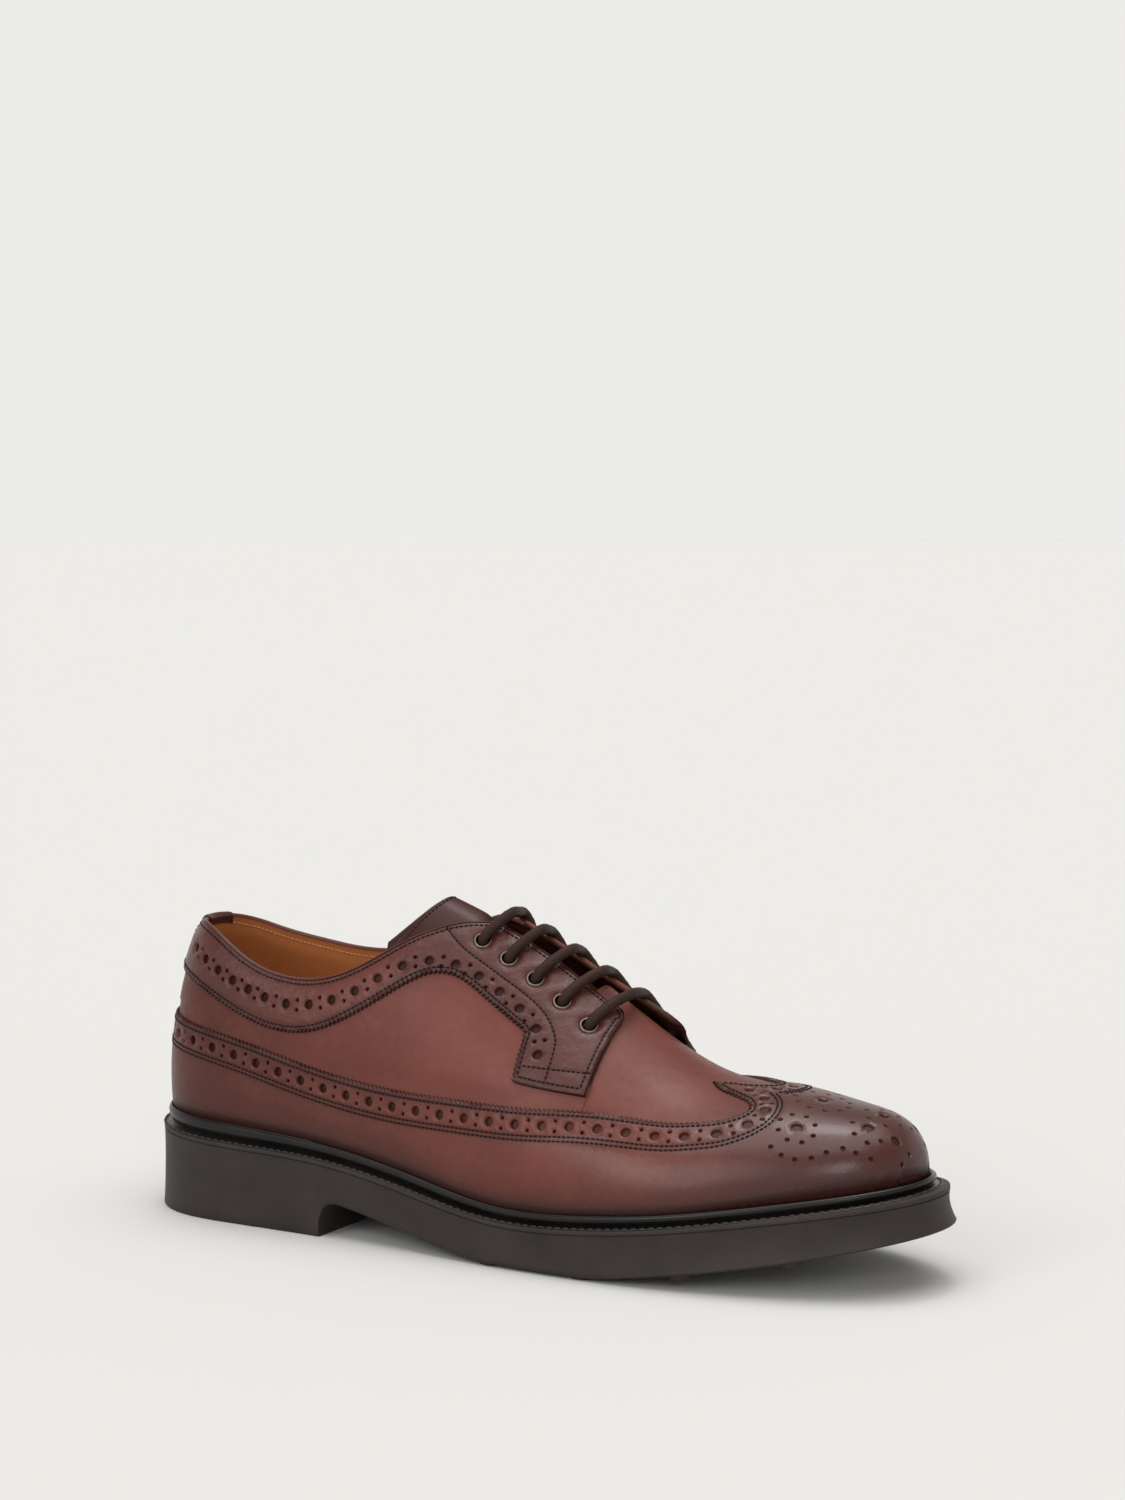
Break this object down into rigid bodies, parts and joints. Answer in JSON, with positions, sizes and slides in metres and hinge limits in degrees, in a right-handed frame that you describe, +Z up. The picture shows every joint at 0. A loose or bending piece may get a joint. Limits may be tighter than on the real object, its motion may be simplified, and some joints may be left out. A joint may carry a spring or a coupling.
{
  "type": "brogue shoe",
  "caption": "Leather long-wing derby brogue with open lacing, collar band, storm welt and a rubber sole with heel and studs, worn on the right foot.",
  "frame": {"origin": "on the floor, under the middle of the sole's bounding box", "axes": "+X from heel to toe, +Y towards the inner side of the foot, +Z up"},
  "size_m": [0.3092, 0.0998, 0.1202],
  "materials": {
    "sole_rubber": "matte dark brown",
    "welt_rubber": "glossy black",
    "lining_leather": "tan lining",
    "upper_leather": "burnished burgundy brown",
    "overlay_leather": "burnished burgundy brown, punched",
    "eyelet_metal": "dark plated ring",
    "lace_cord": "waxed round cord"
  },
  "bodies": {
    "root": {"outsole": "sole_rubber", "welt": "welt_rubber", "insole": "lining_leather", "upper": "upper_leather", "tongue": "upper_leather", "wing": "overlay_leather", "facing_lateral": "overlay_leather", "facing_medial": "overlay_leather", "heel_strip": "overlay_leather", "eyelet_lateral_1": "eyelet_metal", "eyelet_lateral_2": "eyelet_metal", "eyelet_lateral_3": "eyelet_metal", "eyelet_lateral_4": "eyelet_metal", "eyelet_lateral_5": "eyelet_metal", "eyelet_medial_1": "eyelet_metal", "eyelet_medial_2": "eyelet_metal", "eyelet_medial_3": "eyelet_metal", "eyelet_medial_4": "eyelet_metal", "eyelet_medial_5": "eyelet_metal", "lace_bar_1": "lace_cord", "lace_bar_2": "lace_cord", "lace_bar_3": "lace_cord", "lace_bar_4": "lace_cord", "lace_bar_5": "lace_cord"}
  },
  "joints": []
}
